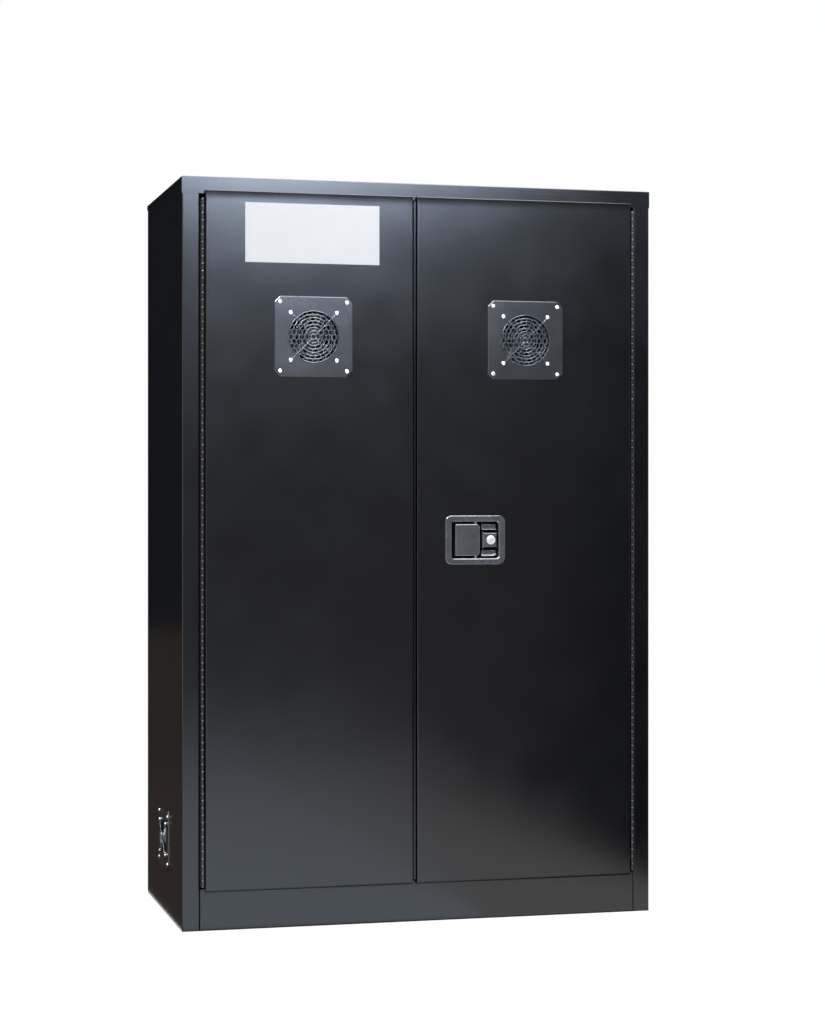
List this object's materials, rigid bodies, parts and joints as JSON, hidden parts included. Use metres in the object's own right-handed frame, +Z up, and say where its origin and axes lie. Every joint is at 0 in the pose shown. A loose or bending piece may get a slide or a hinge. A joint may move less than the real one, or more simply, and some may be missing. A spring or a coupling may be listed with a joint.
{
  "type": "battery cabinet",
  "caption": "Tall double-wall steel battery cabinet with overlay doors on continuous hinges, door fans, a paddle latch, shelves and power strips.",
  "frame": {"origin": "middle of the footprint, on the floor", "axes": "+Z up, doors face -Y, +X to the right seen from the front"},
  "size_m": [1.097, 0.4752, 1.651],
  "materials": {
    "black_powder_coat": "semi-gloss black powder coat on steel sheet",
    "zinc_plated_steel": "bright zinc plate",
    "dark_plate": "semi-gloss black paint, a little greyer than the cabinet",
    "guard_wire": "gloss black coated wire",
    "honeycomb_foil": "dull grey foil",
    "fan_plastic": "matt black moulded plastic",
    "lock_chrome": "bright plated lock barrel",
    "white_sign": "satin white enamel",
    "strip_plastic": "dark grey moulded housing",
    "rocker_plastic": "red switch rocker",
    "grommet_rubber": "black rubber"
  },
  "bodies": {
    "cabinet": {"side_panel_left": "black_powder_coat", "side_panel_right": "black_powder_coat", "top_panel": "black_powder_coat", "bottom_panel": "black_powder_coat", "back_panel": "black_powder_coat", "kick_plate": "black_powder_coat", "floor_pan": "black_powder_coat", "inner_liner": "black_powder_coat", "inner_ceiling": "black_powder_coat", "left_hinge_frame_leaf": "black_powder_coat", "right_hinge_frame_leaf": "black_powder_coat", "hinge_pins": "zinc_plated_steel", "shelf_standards": "zinc_plated_steel", "shelf_clips": "zinc_plated_steel", "shelf_lower": "black_powder_coat", "shelf_middle": "black_powder_coat", "shelf_upper": "black_powder_coat", "power_strip_lower": "strip_plastic", "power_strip_middle": "strip_plastic", "power_strip_upper": "strip_plastic", "cable_grommet": "grommet_rubber", "vent_plate": "dark_plate", "vent_guard": "guard_wire", "vent_screws": "zinc_plated_steel", "vent_fan_frame": "fan_plastic"},
    "left_door": {"left_door_skin": "black_powder_coat", "left_door_pan": "black_powder_coat", "meeting_strip": "black_powder_coat", "left_hinge_door_leaf": "black_powder_coat", "sign_plate": "white_sign", "left_fan_plate": "dark_plate", "left_fan_guard": "guard_wire", "left_fan_screws": "zinc_plated_steel", "left_honeycomb": "honeycomb_foil", "left_fan_frame": "fan_plastic"},
    "right_door": {"right_door_skin": "black_powder_coat", "right_door_pan": "black_powder_coat", "right_hinge_door_leaf": "black_powder_coat", "right_fan_plate": "dark_plate", "right_fan_guard": "guard_wire", "right_fan_screws": "zinc_plated_steel", "right_honeycomb": "honeycomb_foil", "right_fan_frame": "fan_plastic", "latch_pan": "dark_plate", "latch_pivot_pin": "zinc_plated_steel", "lock_cylinder": "lock_chrome", "rod_guides": "zinc_plated_steel"},
    "left_fan_rotor": {"left_fan_rotor": "fan_plastic"},
    "right_fan_rotor": {"right_fan_rotor": "fan_plastic"},
    "vent_fan_rotor": {"vent_fan_rotor": "fan_plastic"},
    "latch_paddle": {"latch_paddle": "dark_plate"},
    "latch_crank": {"latch_crank": "zinc_plated_steel"},
    "upper_rod": {"upper_rod": "zinc_plated_steel"},
    "lower_rod": {"lower_rod": "zinc_plated_steel"},
    "centre_bolt": {"centre_bolt": "zinc_plated_steel"},
    "lock_plug": {"lock_plug": "lock_chrome"},
    "rocker_lower": {"rocker_lower": "rocker_plastic"},
    "rocker_middle": {"rocker_middle": "rocker_plastic"},
    "rocker_upper": {"rocker_upper": "rocker_plastic"}
  },
  "joints": [
    {"name": "left_door_swing", "type": "hinge", "parent": "cabinet", "child": "left_door", "pos_m": [-0.5008, -0.2365, 0.853], "axis": [0, 0, -1], "range_deg": [0, 180]},
    {"name": "right_door_swing", "type": "hinge", "parent": "cabinet", "child": "right_door", "pos_m": [0.5008, -0.2365, 0.853], "axis": [0, 0, 1], "range_deg": [0, 180]},
    {"name": "latch_pull", "type": "hinge", "parent": "right_door", "child": "latch_paddle", "pos_m": [0.1255, -0.233, 0.853], "axis": [0, 0, 1], "range_deg": [0, 30], "stiffness_Nm_per_rad": 0.4, "springref_deg": -11.46},
    {"name": "crank_turn", "type": "hinge", "parent": "right_door", "child": "latch_crank", "pos_m": [0.1207, -0.216, 0.853], "axis": [0, -1, 0], "range_deg": [0, 30]},
    {"name": "upper_rod_slide", "type": "slide", "parent": "right_door", "child": "upper_rod", "axis": [0, 0, -1], "range_m": [0, 0.0125]},
    {"name": "lower_rod_slide", "type": "slide", "parent": "right_door", "child": "lower_rod", "axis": [0, 0, 1], "range_m": [0, 0.0125]},
    {"name": "centre_bolt_slide", "type": "slide", "parent": "right_door", "child": "centre_bolt", "axis": [1, 0, 0], "range_m": [0, 0.018]},
    {"name": "lock_turn", "type": "hinge", "parent": "right_door", "child": "lock_plug", "pos_m": [0.1593, -0.2425, 0.853], "axis": [0, 1, 0], "range_deg": [0, 90]},
    {"name": "left_fan_spin", "type": "hinge", "parent": "left_door", "child": "left_fan_rotor", "pos_m": [-0.25215, -0.2164, 1.303], "axis": [0, -1, 0], "continuous": true},
    {"name": "right_fan_spin", "type": "hinge", "parent": "right_door", "child": "right_fan_rotor", "pos_m": [0.24065, -0.2164, 1.303], "axis": [0, -1, 0], "continuous": true},
    {"name": "vent_fan_spin", "type": "hinge", "parent": "cabinet", "child": "vent_fan_rotor", "pos_m": [-0.5258, 0, 0.17], "axis": [-1, 0, 0], "continuous": true},
    {"name": "rocker_lower_tilt", "type": "hinge", "parent": "cabinet", "child": "rocker_lower", "pos_m": [0.261, 0.154, 0.6831], "axis": [-1, 0, 0], "range_deg": [0, 16]},
    {"name": "rocker_middle_tilt", "type": "hinge", "parent": "cabinet", "child": "rocker_middle", "pos_m": [0.261, 0.154, 1.07655], "axis": [-1, 0, 0], "range_deg": [0, 16]},
    {"name": "rocker_upper_tilt", "type": "hinge", "parent": "cabinet", "child": "rocker_upper", "pos_m": [0.261, 0.154, 1.47], "axis": [-1, 0, 0], "range_deg": [0, 16]}
  ],
  "couplings": [
    {"joint": "crank_turn", "follows": "latch_pull", "ratio": 1},
    {"joint": "upper_rod_slide", "follows": "latch_pull", "m_per_rad": 0.023873},
    {"joint": "lower_rod_slide", "follows": "latch_pull", "m_per_rad": 0.023873},
    {"joint": "centre_bolt_slide", "follows": "latch_pull", "m_per_rad": 0.034377}
  ]
}
